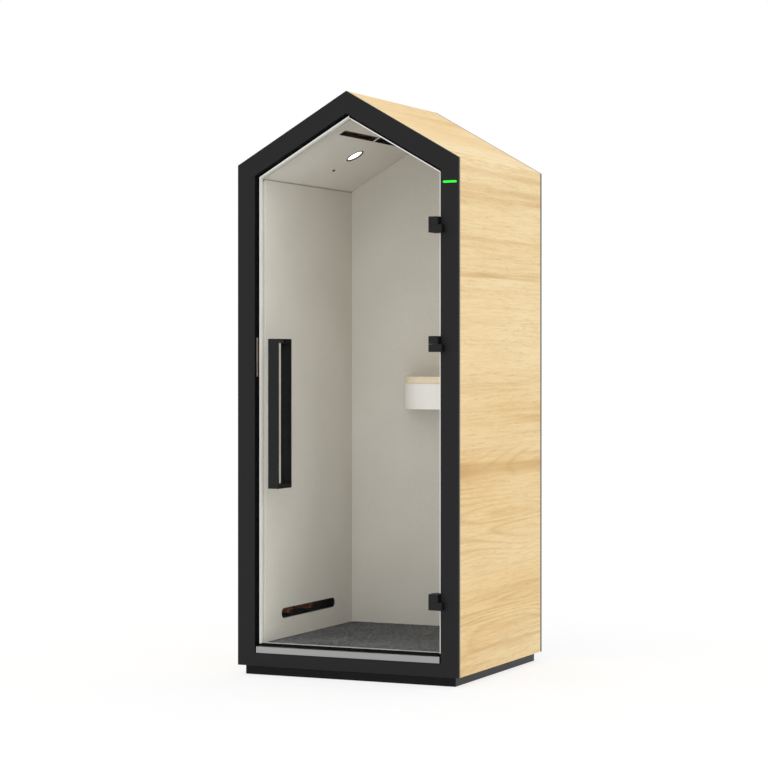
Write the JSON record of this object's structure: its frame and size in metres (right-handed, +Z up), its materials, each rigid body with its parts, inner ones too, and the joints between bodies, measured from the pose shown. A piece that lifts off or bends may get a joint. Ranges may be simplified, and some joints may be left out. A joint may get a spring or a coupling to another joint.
{
  "type": "acoustic office pod",
  "caption": "House-shaped one-person phone booth with oak sides and roof, a black front frame, a hinged glass door, felt-lined cabin, corner shelf, downlight and fan ventilation.",
  "frame": {"origin": "on the floor, at the middle of the pod's footprint box, hinges included", "axes": "+Z up, the door faces -Y, +X to the right of a person facing the door"},
  "size_m": [0.92, 0.887, 2.2196],
  "materials": {
    "black_paint": "satin black powder coat",
    "black_board": "board lacquered black, matte",
    "oak": "pale oak veneer, matte oil, grain along the depth",
    "plywood": "raw birch plywood",
    "felt": "grey pressed acoustic felt",
    "acoustic_core": "dense absorbing core",
    "carpet": "grey loop-pile carpet tile",
    "baffle_felt": "brown pressed felt",
    "aluminium": "brushed along its length",
    "cast_housing": "cast",
    "door_glass": "clear toughened glass, polished edges",
    "clear_seal": "clear extruded seal, milky at its edge",
    "black_rubber": "soft sweep",
    "black_plastic": "moulded",
    "strike_metal": "dark satin",
    "status_green": "diffuser, lit",
    "lamp_lens": "opal lens, lit",
    "white_lacquer": "white lacquer, matte",
    "bright_steel": "turned"
  },
  "bodies": {
    "pod": {"front_frame": "black_paint", "downlight_trim": "black_paint", "hinge_low_bracket": "black_paint", "hinge_middle_bracket": "black_paint", "hinge_high_bracket": "black_paint", "plinth": "black_board", "rear_panel": "black_board", "left_outer_panel": "oak", "right_outer_panel": "oak", "left_roof_panel": "oak", "right_roof_panel": "oak", "shelf_top": "oak", "floor_deck": "plywood", "shelf_cleat": "plywood", "left_lining": "felt", "right_lining": "felt", "left_ceiling": "felt", "right_ceiling": "felt", "rear_lining": "felt", "left_wall_core": "acoustic_core", "right_wall_core": "acoustic_core", "left_roof_core": "acoustic_core", "right_roof_core": "acoustic_core", "rear_core": "acoustic_core", "floor_raft": "acoustic_core", "carpet": "carpet", "inlet_baffle": "baffle_felt", "threshold_strip": "aluminium", "downlight_can": "cast_housing", "power_supply": "cast_housing", "mains_inlet": "black_plastic", "motion_sensor": "black_plastic", "inlet_fan_frame": "black_plastic", "outlet_fan_frame": "black_plastic", "strike_plate": "strike_metal", "status_light": "status_green", "downlight_lens": "lamp_lens", "shelf_tray": "white_lacquer", "hinge_low_pin": "bright_steel", "hinge_middle_pin": "bright_steel", "hinge_high_pin": "bright_steel"},
    "door": {"door_glass": "door_glass", "left_edge_seal": "clear_seal", "right_edge_seal": "clear_seal", "left_top_seal": "clear_seal", "right_top_seal": "clear_seal", "bottom_edge_seal": "black_rubber", "door_sweep": "black_rubber", "hinge_low_leaf": "black_paint", "hinge_low_clamp": "black_paint", "hinge_middle_leaf": "black_paint", "hinge_middle_clamp": "black_paint", "hinge_high_leaf": "black_paint", "hinge_high_clamp": "black_paint", "outer_handle": "black_paint", "inner_handle": "black_paint", "handle_bolt_low": "bright_steel", "handle_bolt_high": "bright_steel"},
    "inlet_fan": {"inlet_fan_rotor": "black_plastic"},
    "outlet_fan": {"outlet_fan_rotor": "black_plastic"}
  },
  "joints": [
    {"name": "door_hinge", "type": "hinge", "parent": "pod", "child": "door", "pos_m": [0.3729, -0.431, 1], "axis": [0, 0, 1], "range_deg": [0, 105]},
    {"name": "inlet_fan_spin", "type": "hinge", "parent": "pod", "child": "inlet_fan", "pos_m": [-0.4028, 0.4072, 0.2185], "axis": [0, 1, 0], "continuous": true},
    {"name": "outlet_fan_spin", "type": "hinge", "parent": "pod", "child": "outlet_fan", "pos_m": [-0.08818, 0.4072, 2.10724], "axis": [0, 1, 0], "continuous": true}
  ]
}
